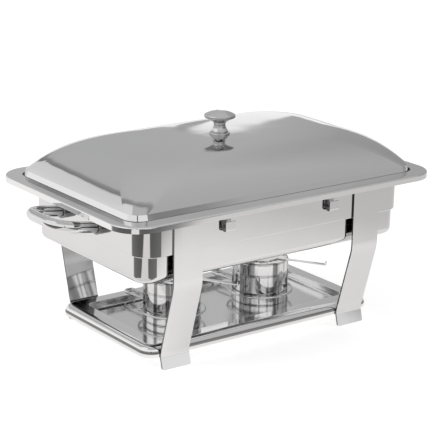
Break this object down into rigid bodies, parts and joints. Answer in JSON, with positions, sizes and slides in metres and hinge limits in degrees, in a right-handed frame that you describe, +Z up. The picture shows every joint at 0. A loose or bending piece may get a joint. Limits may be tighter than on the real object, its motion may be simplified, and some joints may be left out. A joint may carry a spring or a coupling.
{
  "type": "chafing dish food warmer",
  "caption": "Rectangular buffet food warmer: lift-off domed lid, food pan in a wide-rimmed water pan, strap-leg stand with loop handles, fuel shelf and damped fuel holders.",
  "frame": {"origin": "centre of the footprint, on the table plane under the feet", "axes": "+X along the length with a loop handle at each end, -Y the front long side, +Z up"},
  "size_m": [0.698, 0.398, 0.3646],
  "materials": {
    "lid_steel": "mirror polished stainless sheet",
    "knob_steel": "mirror polished stainless, turned",
    "screw_steel": "plain machined stainless",
    "food_pan_steel": "satin stainless sheet",
    "water_pan_steel": "mirror polished stainless sheet",
    "band_steel": "mirror polished stainless sheet",
    "leg_steel": "mirror polished stainless strap",
    "shelf_steel": "polished stainless sheet",
    "handle_steel": "mirror polished stainless bar",
    "hook_steel": "polished stainless strap",
    "holder_steel": "bright polished steel",
    "damper_steel": "bright polished steel",
    "wire_steel": "bright steel wire",
    "can_tin": "plain tinplate",
    "fuel_gel": "set fuel gel"
  },
  "bodies": {
    "stand": {"stand_band": "band_steel", "leg_front_left": "leg_steel", "leg_front_right": "leg_steel", "leg_back_left": "leg_steel", "leg_back_right": "leg_steel", "fuel_shelf": "shelf_steel", "shelf_border": "shelf_steel", "handle_left": "handle_steel", "handle_right": "handle_steel", "handle_ferrules_left": "handle_steel", "handle_ferrules_right": "handle_steel", "lid_hooks_front": "hook_steel", "lid_hooks_back": "hook_steel"},
    "water_pan": {"water_pan": "water_pan_steel", "water_pan_rim": "water_pan_steel"},
    "food_pan": {"food_pan": "food_pan_steel", "food_pan_flange": "food_pan_steel"},
    "lid": {"lid_dome": "lid_steel", "lid_knob": "knob_steel", "knob_seat_plate": "knob_steel", "knob_screw": "screw_steel", "knob_washer": "screw_steel"},
    "fuel_holder_left": {"fuel_cup_left": "holder_steel", "fuel_can_left": "can_tin", "fuel_gel_left": "fuel_gel", "fuel_cover_left": "holder_steel", "damper_rivet_left": "damper_steel", "cup_ring_left": "wire_steel"},
    "damper_left": {"damper_left": "damper_steel"},
    "fuel_holder_right": {"fuel_cup_right": "holder_steel", "fuel_can_right": "can_tin", "fuel_gel_right": "fuel_gel", "fuel_cover_right": "holder_steel", "damper_rivet_right": "damper_steel", "cup_ring_right": "wire_steel"},
    "damper_right": {"damper_right": "damper_steel"}
  },
  "joints": [
    {"name": "water_pan_lift", "type": "slide", "parent": "stand", "child": "water_pan", "axis": [0, 0, 1], "range_m": [0, 0.105]},
    {"name": "food_pan_lift", "type": "slide", "parent": "water_pan", "child": "food_pan", "axis": [0, 0, 1], "range_m": [0, 0.07]},
    {"name": "lid_lift", "type": "slide", "parent": "food_pan", "child": "lid", "axis": [0, 0, 1], "range_m": [0, 0.12]},
    {"name": "fuel_holder_left_lift", "type": "slide", "parent": "stand", "child": "fuel_holder_left", "axis": [0, 0, 1], "range_m": [0, 0.042]},
    {"name": "damper_left_swivel", "type": "hinge", "parent": "fuel_holder_left", "child": "damper_left", "pos_m": [-0.12823, -0.01319, 0.0981], "axis": [0, 0, 1], "range_deg": [0, 75]},
    {"name": "fuel_holder_right_lift", "type": "slide", "parent": "stand", "child": "fuel_holder_right", "axis": [0, 0, 1], "range_m": [0, 0.042]},
    {"name": "damper_right_swivel", "type": "hinge", "parent": "fuel_holder_right", "child": "damper_right", "pos_m": [0.05577, -0.01319, 0.0981], "axis": [0, 0, 1], "range_deg": [0, 75]}
  ]
}
